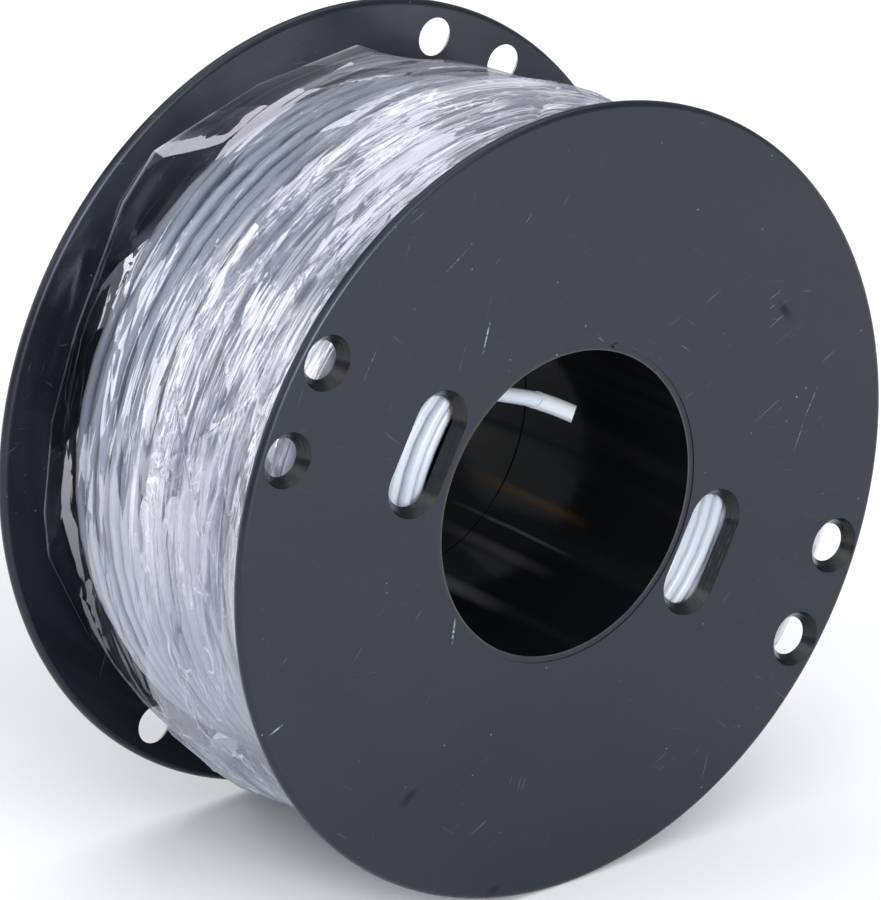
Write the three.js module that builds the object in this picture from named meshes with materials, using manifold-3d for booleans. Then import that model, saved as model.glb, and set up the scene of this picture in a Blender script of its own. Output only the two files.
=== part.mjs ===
// A reel of round string: two plastic mouldings, a string winding with a free inner end, and a stretch-film wrap.
// Millimetres, +Z up. The reel's axis lies along Y and its front flange faces -Y.
// The origin is on the axis, halfway between the outer faces of the flanges.

import * as THREE from 'three';
import { ConvexGeometry } from 'three/addons/geometries/ConvexGeometry.js';
import { mergeVertices } from 'three/addons/utils/BufferGeometryUtils.js';
import Module from 'manifold-3d';

const wasm = await Module();
wasm.setup();

// Reel
const FLANGE_RADIUS = 80;
const REEL_WIDTH = 75;
const FLANGE_THICKNESS = 2.3;
const RIM_ROUNDING = FLANGE_THICKNESS / 2;
const BORE_RADIUS = 30.6;
const BARREL_RADIUS = 32.8;
const BARREL_FILLET = 1;

// Shallow ring let into each outer face round the bore, and the chamfer on the bore's edge
const LIP_WIDTH = 1.4;
const LIP_DEPTH = 0.2;
const BORE_CHAMFER = 0.4;

// The two halves meet in a lap joint: the front spigot sits inside the rear socket
const SEAM_Y = 11.5;
const LAP_LENGTH = 8;
const SPIGOT_RADIUS = 31.55;
const GAP = 0.3;

// Openings in each flange: two pairs of round holes and two slots on one diameter, all flared outwards
const FRONT_PATTERN_ANGLE = THREE.MathUtils.degToRad(150.8);
const REAR_PATTERN_ANGLE = FRONT_PATTERN_ANGLE - Math.PI / 2;
const HOLE_CIRCLE_RADIUS = 73.2;
const HOLE_HALF_SPACING = THREE.MathUtils.degToRad(7.75);
const HOLE_MOUTH_RADIUS = 5.6;
const SLOT_CIRCLE_RADIUS = 39.2;
const SLOT_MOUTH_LENGTH = 26;
const SLOT_MOUTH_WIDTH = 13;
const FLARE = 1.75;
const CUT_OVERRUN = 0.5;

// String
const STRING_DIAMETER = 3.1;
const STRING_HOLE_RADIUS = 2.1;
const STRING_HOLE_OVERRUN = 4;
const SLEEVE_DIAMETER = 3.5;
const SLEEVE_LENGTH = 11.6;
const WINDING_SIDE_GAP = 0.5;

// Facets
const ROUND_SEGMENTS = 72;
const HOLE_SEGMENTS = 24;
const STRING_SIDES = 8;
const STRING_STEP = 2 * STRING_DIAMETER;

const FACE_Y = REEL_WIDTH / 2;
const CHANNEL_Y = FACE_Y - FLANGE_THICKNESS;

// The inner end's route, from the winding through the barrel wall into the bore
const INNER_END_ROUTE = [
  [-19.2, -26, 25.5],
  [-14.6, -26, 23.8],
  [-10.0, -26, 22.1],
  [-5.5, -26, 20.4],
  [-2.1, -26, 19.1],
  [1.2, -26, 17.7],
  [6.6, -26, 14.8],
  [11.3, -26, 12.0],
].map(([x, y, z]) => new THREE.Vector3(x, y, z));

const slateGrey = () => new THREE.MeshStandardMaterial({ color: 0x33363c, roughness: 0.45, metalness: 0 });
const lightGrey = () => new THREE.MeshStandardMaterial({ color: 0xb9bdc2, roughness: 0.5, metalness: 0 });
const paleGrey = () => new THREE.MeshStandardMaterial({ color: 0xd4d7da, roughness: 0.35, metalness: 0 });
const clearFilm = () => new THREE.MeshStandardMaterial({ color: 0xdfe6ee, roughness: 0.12, metalness: 0 });

// Solids and geometries

function toSolid(geometry) {
  const bare = geometry.clone();
  bare.deleteAttribute('normal');
  bare.deleteAttribute('uv');
  const merged = mergeVertices(bare, 1e-4);
  return new wasm.Manifold(new wasm.Mesh({
    numProp: 3,
    vertProperties: new Float32Array(merged.attributes.position.array),
    triVerts: new Uint32Array(merged.index.array),
  }));
}

function toGeometry(solid) {
  const mesh = solid.getMesh();
  const geometry = new THREE.BufferGeometry();
  geometry.setAttribute('position', new THREE.BufferAttribute(mesh.vertProperties, 3));
  geometry.setIndex(new THREE.BufferAttribute(mesh.triVerts, 1));
  geometry.computeVertexNormals();
  return geometry;
}

function named(name, geometry, material) {
  const mesh = new THREE.Mesh(geometry, material);
  mesh.name = name;
  return mesh;
}

// A ring turned about the Y axis from a closed outline of [radius, y] points.
// Half a segment of offset puts a flat facet at the bottom, where the reel stands.
function turned(outline) {
  const points = [...outline, outline[0]].map(([radius, y]) => new THREE.Vector2(radius, y));
  return new THREE.LatheGeometry(points, ROUND_SEGMENTS, Math.PI / ROUND_SEGMENTS);
}

function onCircle(radius, angle, y) {
  return new THREE.Vector3(radius * Math.cos(angle), y, radius * Math.sin(angle));
}

// Reel halves

// The outline of one half, for a flange whose outer face is at y = 0 and a barrel that runs towards +y
function halfOutline(barrelEnd) {
  const diagonal = RIM_ROUNDING * (1 - Math.SQRT1_2);
  return [
    [BORE_RADIUS, LIP_DEPTH + BORE_CHAMFER],
    [BORE_RADIUS + BORE_CHAMFER, LIP_DEPTH],
    [BORE_RADIUS + LIP_WIDTH, LIP_DEPTH],
    [BORE_RADIUS + LIP_WIDTH, 0],
    [FLANGE_RADIUS - RIM_ROUNDING, 0],
    [FLANGE_RADIUS - diagonal, diagonal],
    [FLANGE_RADIUS, RIM_ROUNDING],
    [FLANGE_RADIUS - diagonal, FLANGE_THICKNESS - diagonal],
    [FLANGE_RADIUS - RIM_ROUNDING, FLANGE_THICKNESS],
    [BARREL_RADIUS + BARREL_FILLET, FLANGE_THICKNESS],
    [BARREL_RADIUS, FLANGE_THICKNESS + BARREL_FILLET],
    ...barrelEnd,
  ];
}

// A flared opening through the front flange: its mouth outline shrinks by FLARE over the flange's thickness
function flaredOpening(centre, tangent, halfStraight, mouthRadius) {
  const radial = new THREE.Vector3(tangent.z, 0, -tangent.x);
  const slope = FLARE / FLANGE_THICKNESS;
  const levels = [-CUT_OVERRUN, FLANGE_THICKNESS + CUT_OVERRUN];
  const points = [];
  for (const level of levels) {
    const radius = mouthRadius - level * slope;
    for (let i = 0; i < HOLE_SEGMENTS; i += 1) {
      const angle = ((i + 0.5) * 2 * Math.PI) / HOLE_SEGMENTS;
      const along = Math.sign(Math.cos(angle)) * halfStraight + radius * Math.cos(angle);
      const point = centre.clone();
      point.addScaledVector(tangent, along);
      point.addScaledVector(radial, radius * Math.sin(angle));
      point.y += level;
      points.push(point);
    }
  }
  return toSolid(new ConvexGeometry(points));
}

// Every opening of one flange whose outer face is at y = 0
function flangeOpenings(patternAngle) {
  const openings = [];
  for (const side of [0, Math.PI]) {
    const middle = patternAngle + side;
    const tangent = onCircle(1, middle + Math.PI / 2, 0);
    const slotCentre = onCircle(SLOT_CIRCLE_RADIUS, middle, 0);
    const halfStraight = (SLOT_MOUTH_LENGTH - SLOT_MOUTH_WIDTH) / 2;
    openings.push(flaredOpening(slotCentre, tangent, halfStraight, SLOT_MOUTH_WIDTH / 2));
    for (const offset of [-HOLE_HALF_SPACING, HOLE_HALF_SPACING]) {
      const holeCentre = onCircle(HOLE_CIRCLE_RADIUS, middle + offset, 0);
      openings.push(flaredOpening(holeCentre, tangent, 0, HOLE_MOUTH_RADIUS));
    }
  }
  return openings;
}

function reelHalf(barrelEnd, patternAngle) {
  let solid = toSolid(turned(halfOutline(barrelEnd)));
  for (const opening of flangeOpenings(patternAngle)) {
    solid = solid.subtract(opening);
  }
  return solid;
}

function frontReelHalf() {
  const seam = FACE_Y + SEAM_Y;
  const solid = reelHalf([
    [BARREL_RADIUS, seam - LAP_LENGTH],
    [SPIGOT_RADIUS, seam - LAP_LENGTH],
    [SPIGOT_RADIUS, seam],
    [BORE_RADIUS, seam],
  ], FRONT_PATTERN_ANGLE).translate([0, -FACE_Y, 0]);
  const stringHole = toSolid(tubeAlong(extendedBack(INNER_END_ROUTE, STRING_HOLE_OVERRUN), STRING_HOLE_RADIUS));
  return named('front_reel_half', toGeometry(solid.subtract(stringHole)), slateGrey());
}

// The rear half is built as a front one and turned half a turn about Z, which takes angle a to 180 degrees - a
function rearReelHalf() {
  const socketEnd = FACE_Y - SEAM_Y - GAP;
  const solid = reelHalf([
    [BARREL_RADIUS, socketEnd + LAP_LENGTH],
    [SPIGOT_RADIUS + GAP, socketEnd + LAP_LENGTH],
    [SPIGOT_RADIUS + GAP, socketEnd],
    [BORE_RADIUS, socketEnd],
  ], Math.PI - REAR_PATTERN_ANGLE).translate([0, -FACE_Y, 0]).rotate([0, 0, 180]);
  return named('rear_reel_half', toGeometry(solid), slateGrey());
}

// String

function tubeAlong(route, radius) {
  const curve = new THREE.CatmullRomCurve3(route, false, 'centripetal');
  const section = new THREE.Shape();
  for (let i = 0; i < STRING_SIDES; i += 1) {
    const angle = ((i + 0.5) * 2 * Math.PI) / STRING_SIDES;
    const x = radius * Math.cos(angle);
    const y = radius * Math.sin(angle);
    if (i === 0) {
      section.moveTo(x, y);
    } else {
      section.lineTo(x, y);
    }
  }
  section.closePath();
  const steps = Math.ceil(curve.getLength() / STRING_STEP);
  return new THREE.ExtrudeGeometry(section, { steps, extrudePath: curve });
}

// The same route, begun further back along its first direction
function extendedBack(route, distance) {
  const direction = route[0].clone().sub(route[1]).normalize();
  return [route[0].clone().addScaledVector(direction, distance), ...route];
}

// The part of a route between two distances along it
function stretchOf(route, from, to) {
  const curve = new THREE.CatmullRomCurve3(route, false, 'centripetal');
  const length = curve.getLength();
  const count = Math.max(2, Math.ceil((to - from) / STRING_STEP)) + 1;
  const points = [];
  for (let i = 0; i < count; i += 1) {
    points.push(curve.getPointAt((from + ((to - from) * i) / (count - 1)) / length));
  }
  return points;
}

function stringInnerEnd() {
  const length = new THREE.CatmullRomCurve3(INNER_END_ROUTE, false, 'centripetal').getLength();
  const sleeveStart = length - SLEEVE_LENGTH;
  const string = tubeAlong(stretchOf(INNER_END_ROUTE, 0, sleeveStart - GAP), STRING_DIAMETER / 2);
  const sleeve = tubeAlong(stretchOf(INNER_END_ROUTE, sleeveStart, length), SLEEVE_DIAMETER / 2);
  return [
    named('string_inner_end', toGeometry(toSolid(string)), lightGrey()),
    named('string_end_sleeve', toGeometry(toSolid(sleeve)), paleGrey()),
  ];
}

// Outer radius of the winding from the rear flange to the front one, as [y, radius]
const WINDING_CROWN = [
  [CHANNEL_Y - WINDING_SIDE_GAP, 64.2],
  [30, 67],
  [24, 69],
  [12, 70.3],
  [0, 70.8],
  [-16, 71],
  [WINDING_SIDE_GAP - CHANNEL_Y, 70.5],
];

function stringWinding() {
  const inner = BARREL_RADIUS + GAP;
  const cornerRadius = inner + BARREL_FILLET;
  const side = CHANNEL_Y - WINDING_SIDE_GAP;
  const crown = WINDING_CROWN.map(([y, radius]) => [radius, y]).reverse();
  const outline = [[inner, -side + BARREL_FILLET], [cornerRadius, -side], ...crown];
  outline.push([cornerRadius, side], [inner, side - BARREL_FILLET]);
  return named('string_winding', toGeometry(toSolid(turned(outline))), lightGrey());
}

// Film

// Outer radius of the film from the rear flange to the front one, as [y, radius]
const FILM_CROWN = [
  [CHANNEL_Y - GAP, 70],
  [28, 70.5],
  [16, 73],
  [2, 74.8],
  [-14, 75.4],
  [-28, 75],
  [GAP - CHANNEL_Y, 73.6],
];

function stretchFilm() {
  const inside = WINDING_CROWN.map(([y, radius]) => [radius + GAP, y]);
  const [rearRadius] = inside[0];
  const [frontRadius] = inside[inside.length - 1];
  inside[0] = [rearRadius, CHANNEL_Y - GAP];
  inside[inside.length - 1] = [frontRadius, GAP - CHANNEL_Y];
  const outside = FILM_CROWN.map(([y, radius]) => [radius, y]).reverse();
  return named('stretch_film', toGeometry(toSolid(turned([...outside, ...inside]))), clearFilm());
}

const reel = new THREE.Group();
reel.name = 'string_reel';
reel.add(frontReelHalf(), rearReelHalf(), stringWinding(), ...stringInnerEnd(), stretchFilm());

export default reel;
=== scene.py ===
import math

import bmesh
import bpy
import numpy as np
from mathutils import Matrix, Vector


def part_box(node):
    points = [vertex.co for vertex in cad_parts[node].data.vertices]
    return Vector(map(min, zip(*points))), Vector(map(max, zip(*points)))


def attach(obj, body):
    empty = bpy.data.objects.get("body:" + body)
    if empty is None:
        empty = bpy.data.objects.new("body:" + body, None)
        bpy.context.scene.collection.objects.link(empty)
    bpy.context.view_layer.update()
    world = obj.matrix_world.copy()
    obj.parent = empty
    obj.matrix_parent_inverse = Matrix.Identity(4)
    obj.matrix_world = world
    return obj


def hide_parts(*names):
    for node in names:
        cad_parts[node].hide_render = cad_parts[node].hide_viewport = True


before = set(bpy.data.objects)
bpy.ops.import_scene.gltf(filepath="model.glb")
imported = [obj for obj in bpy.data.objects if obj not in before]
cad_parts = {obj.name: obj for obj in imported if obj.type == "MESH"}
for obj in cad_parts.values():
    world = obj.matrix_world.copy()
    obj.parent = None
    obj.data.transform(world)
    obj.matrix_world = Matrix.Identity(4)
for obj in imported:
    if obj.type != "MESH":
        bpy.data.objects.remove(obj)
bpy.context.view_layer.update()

# A reel of round string, in metres, in the CAD frame: the axis along Y, the front flange at -Y, +Z up.

MM = 0.001
REEL_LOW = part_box("front_reel_half")[0]

# Reel, as in the CAD
FLANGE_RADIUS = 80 * MM
FACE_Y = -REEL_LOW.y
FLANGE_THICKNESS = 2.3 * MM
CHANNEL_Y = FACE_Y - FLANGE_THICKNESS
RIM_ROUNDING = FLANGE_THICKNESS / 2
BORE_RADIUS = 30.6 * MM
BARREL_RADIUS = 32.8 * MM
BARREL_FILLET = 1 * MM
LIP_WIDTH = 1.4 * MM
LIP_DEPTH = 0.2 * MM
BORE_CHAMFER = 0.4 * MM
SEAM_Y = 11.5 * MM
LAP_LENGTH = 8 * MM
SPIGOT_RADIUS = 31.55 * MM
GAP = 0.3 * MM
SEAM_CHAMFER = 0.08 * MM

# The stub that the mould's gate leaves beside the front flange's bore
GATE_ANGLE = math.radians(68)
GATE_CIRCLE_RADIUS = 31.9 * MM
GATE_RADIUS = 0.6 * MM

# Openings in each flange
FRONT_PATTERN_ANGLE = math.radians(150.8)
REAR_PATTERN_ANGLE = FRONT_PATTERN_ANGLE - math.pi / 2
HOLE_CIRCLE_RADIUS = 73.2 * MM
HOLE_HALF_SPACING = math.radians(7.75)
HOLE_MOUTH_RADIUS = 5.6 * MM
SLOT_CIRCLE_RADIUS = 39.2 * MM
SLOT_MOUTH_LENGTH = 26 * MM
SLOT_MOUTH_WIDTH = 13 * MM
FLARE = 1.75 * MM

# String
STRING_DIAMETER = 3.1 * MM
STRING_HOLE_RADIUS = 2.1 * MM
SLEEVE_DIAMETER = 3.5 * MM
SLEEVE_LENGTH = 11.6 * MM
SLEEVE_EDGE_SLANT = 0.9 * MM
INNER_END_ROUTE = [
    (-19.2, -26, 25.5),
    (-14.6, -26, 23.8),
    (-10.0, -26, 22.1),
    (-5.5, -26, 20.4),
    (-2.1, -26, 19.1),
    (1.2, -26, 17.7),
    (6.6, -26, 14.8),
    (11.3, -26, 12.0),
]

# Outer radius of the winding from the rear flange to the front one, in mm, as (y, radius)
WINDING_CROWN = [(34.7, 64.2), (30, 67), (24, 69), (12, 70.3), (0, 70.8), (-16, 71), (-34.7, 70.5)]
WINDING_SIDE_Y = 34.7 * MM
WINDING_TOP_RADIUS = 70.5 * MM
WINDING_PITCH = STRING_DIAMETER * 1.02
LAYER_STEP = 2.97 * MM
WINDING_START = math.radians(125)

# A turn keeps its place for this share of its way round, and then steps over to the next one's
STEP_FROM = 0.7

# How far turns wander, along the reel and outwards. The outer layers lie less evenly.
OUTER_LAYERS = 4
OUTER_WANDER = 0.35 * MM, 0.16 * MM
INNER_WANDER = 0.12 * MM, 0.06 * MM

# The turns within this reach of the front flange are slack
FRONT_REACH = 2.2 * MM
FRONT_WANDER = 0.9 * MM, 0.30 * MM

# Finish
ROUND_SEGMENTS = 288
OPENING_SEGMENTS = 96
STRING_HOLE_SEGMENTS = 48
GATE_SEGMENTS = 20
STRING_SIDES = 24
SLEEVE_SIDES = 32
WINDING_SIDES = 8
WINDING_POINTS_PER_TURN = 44
FILM_COLUMNS = 1100

# Where the film leaves the winding for the rear flange
CLEAR_FROM = 23 * MM

# The film begins and ends under the reel. Distances round it are counted from +X towards +Z.
FILM_MEAN_RADIUS = 72 * MM
FILM_START = math.radians(-85)
FILM_ANGLES = FILM_START + np.arange(FILM_COLUMNS) * 2 * math.pi / FILM_COLUMNS
OUTER_TURN_LIFT = 0.7 * MM
FILM_REACH = 78.2 * MM
FILM_DEGREE = math.radians(1) * FILM_MEAN_RADIUS

# The stretch of film under the reel
UNDER_FROM = 188 * FILM_DEGREE
UNDER_TO = -25 * FILM_DEGREE

# The stretch over the top where it is gathered into folds beside the rear flange
GATHER_FROM = 38 * FILM_DEGREE
GATHER_TO = 90 * FILM_DEGREE

# The slack stretch near the bottom, where the film hangs in milky folds
SLACK_FROM = 228 * FILM_DEGREE
SLACK_TO = 262 * FILM_DEGREE

rng = np.random.default_rng(7)


# Camera


def make_camera():
    azimuth, elevation, distance = math.radians(-39.3), math.radians(22.4), 2.323
    aim_right, aim_up = -0.0004, -0.0007
    back = Vector((
        math.sin(azimuth) * math.cos(elevation),
        -math.cos(azimuth) * math.cos(elevation),
        math.sin(elevation),
    ))
    right = Vector((math.cos(azimuth), math.sin(azimuth), 0))
    up = back.cross(right)
    data = bpy.data.cameras.new("camera")
    data.lens = 480
    data.sensor_width = 36
    data.clip_start = 0.1
    data.clip_end = 50
    camera = bpy.data.objects.new("camera", data)
    camera.rotation_mode = "QUATERNION"
    camera.rotation_quaternion = (-back).to_track_quat("-Z", "Y")
    camera.location = back * distance + right * aim_right + up * aim_up
    bpy.context.collection.objects.link(camera)
    bpy.context.scene.camera = camera


# Mesh helpers


def make_object(name, vertices, faces, uvs=None, smooth_angle=None):
    """A new smooth-shaded object from arrays. uvs is one (u, v) per vertex.

    Edges bent by more than smooth_angle, in degrees, stay sharp.
    """
    mesh = bpy.data.meshes.new(name)
    mesh.from_pydata([tuple(v) for v in vertices], [], [tuple(f) for f in faces])
    if uvs is not None:
        layer = mesh.uv_layers.new(name="surface")
        loops = np.empty(len(mesh.loops), dtype=np.int32)
        mesh.loops.foreach_get("vertex_index", loops)
        layer.data.foreach_set("uv", np.asarray(uvs, dtype=np.float32)[loops].ravel())
    mesh.shade_smooth()
    if smooth_angle is not None:
        mesh.set_sharp_from_angle(angle=math.radians(smooth_angle))
    obj = bpy.data.objects.new(name, mesh)
    bpy.context.collection.objects.link(obj)
    return obj


def grid_faces(rows, columns, wrap_rows=False):
    """Quads over a rows x columns grid of vertices, stored row by row, whose last column joins the first."""
    i = np.arange(rows if wrap_rows else rows - 1)[:, None]
    j = np.arange(columns)[None, :]
    i2, j2 = (i + 1) % rows, (j + 1) % columns
    quads = np.stack([i * columns + j, i * columns + j2, i2 * columns + j2, i2 * columns + j], axis=-1)
    return quads.reshape(-1, 4)


def closed_faces(rings, segments):
    """The faces of a solid made of rings of vertices: its sides and its two flat ends."""
    count = rings * segments
    ends = [tuple(range(segments)), tuple(range(count - 1, count - segments - 1, -1))]
    return [tuple(f) for f in grid_faces(rings, segments)] + ends


def on_circle(radius, angle, y=0.0):
    """Points round the Y axis, from numbers or arrays."""
    return np.stack(np.broadcast_arrays(radius * np.cos(angle), y, radius * np.sin(angle)), axis=-1)


def turned(outline):
    """Vertices and faces of a ring turned about the Y axis from a closed outline of (radius, y) points."""
    outline = np.asarray(outline, dtype=float)
    angles = (np.arange(ROUND_SEGMENTS) + 0.5) * 2 * math.pi / ROUND_SEGMENTS
    radius, y = outline[:, 0][:, None], outline[:, 1][:, None]
    vertices = on_circle(radius, angles, y)
    return vertices.reshape(-1, 3), grid_faces(len(outline), ROUND_SEGMENTS, wrap_rows=True)


def distances(path):
    """How far along the path each of its points is."""
    return np.concatenate([[0], np.cumsum(np.linalg.norm(np.diff(path, axis=0), axis=1))])


def smooth_path(points, step):
    """A Catmull-Rom curve through the points, resampled to even steps."""
    p = np.asarray(points, dtype=float)
    p = np.vstack([2 * p[0] - p[1], p, 2 * p[-1] - p[-2]])
    dense = []
    for k in range(1, len(p) - 2):
        for t in np.linspace(0, 1, 40, endpoint=False):
            a, b, c, d = p[k - 1 : k + 3]
            dense.append(0.5 * (2 * b + (c - a) * t + (2 * a - 5 * b + 4 * c - d) * t**2
                                + (3 * b - a - 3 * c + d) * t**3))
    dense = np.vstack([dense, p[-2]])
    along = distances(dense)
    even = np.linspace(0, along[-1], max(2, round(along[-1] / step)) + 1)
    return np.stack([np.interp(even, along, dense[:, k]) for k in range(3)], axis=-1)


def directions(path):
    """The path's direction at each of its points."""
    ahead = np.gradient(path, axis=0)
    return ahead / np.linalg.norm(ahead, axis=1)[:, None]


def path_length(path):
    return float(distances(path)[-1])


def tube(path, radius, sides):
    """Vertices and faces of an open tube round the path, which nowhere runs along Y."""
    ahead = directions(path)
    side = np.cross(ahead, np.array([0, 1.0, 0]))
    side /= np.linalg.norm(side, axis=1)[:, None]
    over = np.cross(side, ahead)
    angles = np.arange(sides) * 2 * math.pi / sides
    ring = np.cos(angles)[None, :, None] * side[:, None] + np.sin(angles)[None, :, None] * over[:, None]
    vertices = path[:, None] + radius * ring
    return vertices.reshape(-1, 3), grid_faces(len(path), sides)


# Material helpers


class Nodes:
    """A short way to build a material's node tree."""

    def __init__(self, name):
        self.material = bpy.data.materials.new(name)
        self.material.use_nodes = True
        self.tree = self.material.node_tree
        self.tree.nodes.clear()
        self.output = self.tree.nodes.new("ShaderNodeOutputMaterial")

    def add(self, kind, settings=None, **inputs):
        node = self.tree.nodes.new("ShaderNode" + kind)
        for key, value in (settings or {}).items():
            setattr(node, key, value)
        for key, value in inputs.items():
            self.set(node.inputs[key.replace("_", " ")], value)
        return node

    def set(self, socket, value):
        if isinstance(value, bpy.types.Node):
            value = value.outputs[0]
        if isinstance(value, bpy.types.NodeSocket):
            self.tree.links.new(value, socket)
        else:
            socket.default_value = value

    def math(self, operation, a, b=0.0, clamp=False):
        node = self.add("Math", {"operation": operation, "use_clamp": clamp})
        self.set(node.inputs[0], a)
        self.set(node.inputs[1], b)
        return node.outputs[0]

    def times(self, a, b):
        return self.math("MULTIPLY", a, b)

    def plus(self, a, b, clamp=False):
        return self.math("ADD", a, b, clamp)

    def most(self, a, b, clamp=False):
        return self.math("MAXIMUM", a, b, clamp)

    def vector(self, operation, *values):
        node = self.add("VectorMath", {"operation": operation})
        for socket, value in zip(node.inputs, values):
            self.set(socket, value)
        return node.outputs["Value" if operation in ("DOT_PRODUCT", "DISTANCE") else "Vector"]

    def ramp(self, fac, low, high, to_low=0.0, to_high=1.0):
        return self.add("MapRange", {"clamp": True}, Value=fac, From_Min=low, From_Max=high,
                        To_Min=to_low, To_Max=to_high).outputs[0]

    def part(self, vector, axis):
        return self.add("SeparateXYZ", Vector=vector).outputs[axis]

    def noise(self, vector, scale, detail=2.0, roughness=0.5, distortion=0.0):
        return self.add("TexNoise", Vector=vector, Scale=scale, Detail=detail, Roughness=roughness,
                        Distortion=distortion).outputs["Fac"]

    def streaks(self, vector, scale, turn=0.0, detail=2.0, roughness=0.5, distortion=0.0):
        """Noise stretched by the scale and turned by an angle in degrees."""
        at = self.add("Mapping", Vector=vector, Scale=scale, Rotation=(0, 0, math.radians(turn)))
        return self.noise(at, 1.0, detail, roughness, distortion)

    def colour_mix(self, fac, a, b):
        node = self.add("Mix", {"data_type": "RGBA"})
        self.set(node.inputs[0], fac)
        self.set(node.inputs[6], a)
        self.set(node.inputs[7], b)
        return node.outputs[2]

    def bump(self, height, distance, strength):
        return self.add("Bump", Height=height, Distance=distance, Strength=strength).outputs[0]

    def finish(self, shader):
        self.set(self.output.inputs["Surface"], shader)
        return self.material

    def plastic(self, colour, roughness, normal, **inputs):
        shader = self.add("BsdfPrincipled", Base_Color=colour, Roughness=roughness, Normal=normal, **inputs)
        return self.finish(shader)


def object_position(n):
    return n.add("TexCoord").outputs["Object"]


def surface_uv(n):
    return n.add("UVMap", {"uv_map": "surface"}).outputs[0]


def attribute(n, name):
    return n.add("Attribute", {"attribute_name": name}).outputs["Fac"]


# Marks on the front flange's face: (start x, start z, end x, end z, half width), all in mm
PALE_SCRATCHES = [
    (-19.1, 42.4, -20.8, 36.4, 0.22),
    (-27.6, -16.6, -28.4, -21.5, 0.30),
    (-72.8, -28.0, -69.4, -26.6, 0.25),
    (-30.0, 55.0, -24.5, 58.5, 0.06),
    (-50.0, 38.0, -46.5, 44.0, 0.05),
    (60.0, 2.0, 63.5, 8.0, 0.07),
    (57.5, -4.0, 60.0, 1.5, 0.06),
]
DARK_SMUDGES = [
    (53.0, 28.4, 56.6, 23.6, 1.3),
    (-41.8, -52.4, -36.6, -48.8, 1.4),
    (-20.5, -76.3, -15.5, -75.6, 1.2),
]

# Directions of the fine scratches: (turn in degrees, where in the noise, how rare)
SCRATCH_DIRECTIONS = [(25, 0, 0.69), (-40, 3, 0.69), (70, 6, 0.70), (-8, 9, 0.70), (48, 12, 0.71)]


def segment_mark(n, at, mark):
    """1 on a straight stroke on the XZ plane, fading to 0 at its half width and towards its ends."""
    x1, z1, x2, z2, half_width = (value * MM for value in mark)
    start, along = Vector((x1, 0, z1)), Vector((x2 - x1, 0, z2 - z1))
    flat = n.vector("MULTIPLY", at, (1, 0, 1))
    away = n.vector("SUBTRACT", flat, tuple(start))
    share = n.math("DIVIDE", n.vector("DOT_PRODUCT", away, tuple(along)), along.length_squared, True)
    on_line = n.vector("MULTIPLY", tuple(along), n.add("CombineXYZ", X=share, Y=share, Z=share))
    distance = n.vector("DISTANCE", away, on_line)
    taper = n.ramp(n.math("ABSOLUTE", n.math("SUBTRACT", share, 0.5)), 0.5, 0.1, 0.2, 1.0)
    return n.times(n.ramp(distance, half_width, half_width * 0.3), taper)


def placed_marks(n, at, marks):
    total = 0.0
    for mark in marks:
        total = n.most(total, segment_mark(n, at, mark))
    return total


def reel_plastic(name, gloss, rough_low, rough_high, painted_top_light=0.0):
    """Dark slate moulded plastic, with faint mottling, fine scratches, dust and marks.

    The last argument is how strongly a painted light, a paler tone over the top of the reel, hides the
    colour there.
    """
    n = Nodes(name)
    at = object_position(n)
    mottle = n.noise(at, 60, 4, 0.6)
    fine = n.noise(at, 900)
    grain = n.noise(at, 1500, 2, 0.6)
    slate = (0.0050, 0.0060, 0.0090, 1), (0.0062, 0.0073, 0.0106, 1)
    colour = n.colour_mix(n.ramp(mottle, 0.3, 0.7), *slate)
    # painted light: the top of the reel is painted paler, as if it caught more light than the parts below it
    if painted_top_light:
        painted_top_light_mask = n.ramp(n.part(at, "Z"), 42 * MM, 78 * MM, 0.0, painted_top_light)
        painted_top_light_mask = n.times(painted_top_light_mask, n.ramp(n.noise(at, 30, 3), 0.35, 0.65, 0.4, 1.0))
        colour = n.colour_mix(painted_top_light_mask, colour, (0.20, 0.22, 0.26, 1))
    # dust: small pale specks
    specks = n.add("TexVoronoi", Vector=at, Scale=430)
    chosen = n.ramp(n.part(specks.outputs["Color"], "X"), 0.80, 0.95)
    sparse = n.ramp(n.noise(at, 45), 0.40, 0.62)
    dust = n.times(chosen, sparse)
    dust = n.times(n.ramp(specks.outputs["Distance"], 0.10, 0.03), dust)
    # fine scratches: noise stretched along several directions
    scratches = 0.0
    for turn, offset, level in SCRATCH_DIRECTIONS:
        turned_at = n.add("VectorRotate", {"rotation_type": "Y_AXIS"}, Vector=at, Angle=math.radians(turn))
        long_at = n.add("Mapping", Vector=turned_at, Scale=(95, 1, 1700), Location=(offset, offset, 0))
        line = n.ramp(n.noise(long_at, 1.0), level, level + 0.05)
        moved = n.add("Mapping", Vector=at, Location=(offset, 0, offset))
        line = n.times(line, n.ramp(n.noise(moved, 25), 0.50, 0.66))
        scratches = n.most(scratches, line)
    front = n.ramp(n.part(at, "Y"), -FACE_Y + 0.6 * MM, -FACE_Y + 0.1 * MM)
    strokes = placed_marks(n, at, PALE_SCRATCHES)
    strokes = n.times(n.times(strokes, n.ramp(grain, 0.35, 0.6)), front)
    smudges = placed_marks(n, at, DARK_SMUDGES)
    smudges = n.times(n.times(smudges, n.ramp(fine, 0.1, 0.4)), front)
    marks = n.most(n.times(dust, 0.7), n.times(scratches, 0.24), True)
    marks = n.most(marks, n.times(strokes, 0.9), True)
    colour = n.colour_mix(marks, colour, (0.33, 0.36, 0.41, 1))
    colour = n.colour_mix(smudges, colour, (0.0015, 0.0016, 0.002, 1))
    roughness = n.plus(n.ramp(mottle, 0.2, 0.8, rough_low, rough_high), n.times(marks, 0.3))
    roughness = n.plus(roughness, n.times(smudges, 0.5))
    height = n.plus(mottle, n.times(fine, 0.06))
    normal = n.bump(height, 0.25 * MM, 0.25)
    return n.plastic(colour, roughness, normal, IOR=1.55, Specular_IOR_Level=gloss,
                     Specular_Tint=(0.70, 0.80, 1.0, 1))
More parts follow.
